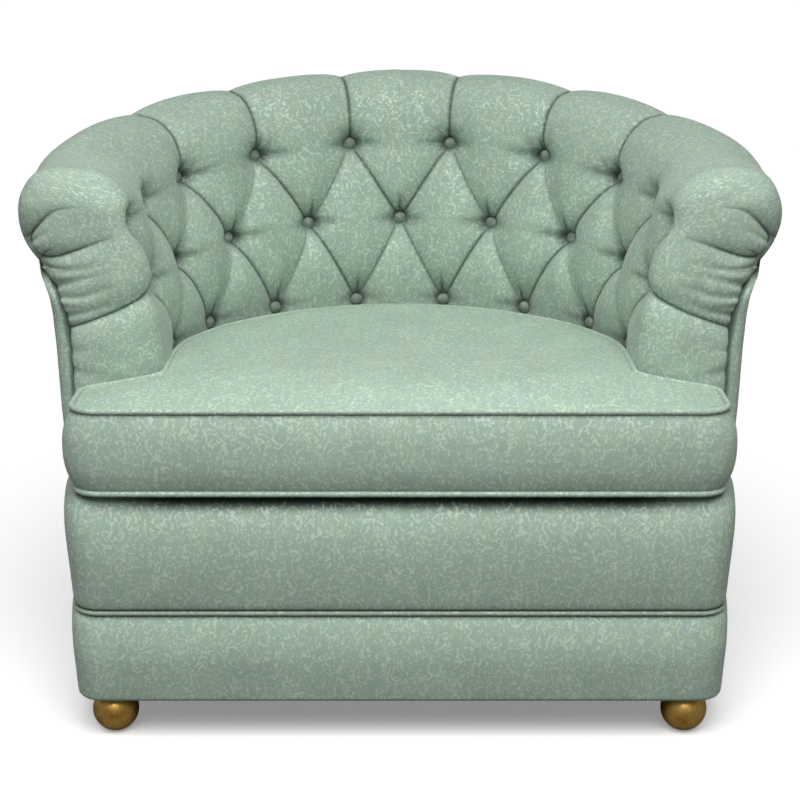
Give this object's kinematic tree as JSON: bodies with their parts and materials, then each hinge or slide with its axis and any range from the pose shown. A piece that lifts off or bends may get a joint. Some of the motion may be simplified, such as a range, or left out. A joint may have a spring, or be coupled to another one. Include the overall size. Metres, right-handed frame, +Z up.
{
  "type": "club chair",
  "caption": "Button-tufted barrel-back club chair with a rolled rim running down into the arms, a loose T-shaped seat cushion, welted base bands and brass ball feet",
  "frame": {"origin": "on the floor under the middle of the chair's bounding box", "axes": "+Z up, the chair faces -Y, +X to the right of someone looking at its front"},
  "size_m": [0.92, 0.696, 0.7512],
  "materials": {
    "upholstery": "satin",
    "button_cover": "satin",
    "padding": "matte",
    "burlap": "matte",
    "twine": "matte",
    "dust_cloth": "matte",
    "hardwood": "matte",
    "spring_steel": "satin",
    "aged_brass": "satin",
    "zip_tape": "matte",
    "zip_metal": "satin"
  },
  "bodies": {
    "chair": {"front_base_rail": "hardwood", "left_base_rail": "hardwood", "right_base_rail": "hardwood", "back_base_rail": "hardwood", "front_seat_rail": "hardwood", "left_seat_rail": "hardwood", "right_seat_rail": "hardwood", "back_seat_rail": "hardwood", "left_arm_post": "hardwood", "right_arm_post": "hardwood", "left_side_upright": "hardwood", "left_back_upright": "hardwood", "centre_back_upright": "hardwood", "right_back_upright": "hardwood", "right_side_upright": "hardwood", "left_arm_rail": "hardwood", "back_top_rail": "hardwood", "right_arm_rail": "hardwood", "front_left_corner_block": "hardwood", "front_right_corner_block": "hardwood", "rear_left_corner_block": "hardwood", "rear_right_corner_block": "hardwood", "frame_dowels": "hardwood", "seat_springs": "spring_steel", "spring_clips": "spring_steel", "spring_tie_wires": "spring_steel", "corner_block_screws": "spring_steel", "foot_studs": "spring_steel", "insert_nuts": "spring_steel", "tufted_back": "upholstery", "left_tufted_arm": "upholstery", "right_tufted_arm": "upholstery", "left_arm_front": "upholstery", "right_arm_front": "upholstery", "outside_cover": "upholstery", "front_band": "upholstery", "base_band": "upholstery", "front_left_foot": "aged_brass", "front_right_foot": "aged_brass", "rear_left_foot": "aged_brass", "rear_right_foot": "aged_brass", "top_row_buttons": "button_cover", "middle_row_buttons": "button_cover", "bottom_row_buttons": "button_cover", "base_welt": "upholstery", "deck_pad": "padding", "deck_burlap": "burlap", "inside_burlap": "burlap", "button_twines": "twine", "dust_cover": "dust_cloth"},
    "seat_cushion": {"cushion_cover": "upholstery", "cushion_core": "padding", "cushion_top_welt": "upholstery", "cushion_bottom_welt": "upholstery", "zip": "zip_tape"},
    "zip_slider": {"zip_slider": "zip_metal"}
  },
  "joints": [
    {"name": "cushion_lift", "type": "slide", "parent": "chair", "child": "seat_cushion", "axis": [0, 0, 1], "range_m": [0, 0.45]},
    {"name": "zip_run", "type": "hinge", "parent": "seat_cushion", "child": "zip_slider", "pos_m": [0, -0.112, 0.3735], "axis": [0, 0, 1], "range_deg": [0, 118]}
  ]
}
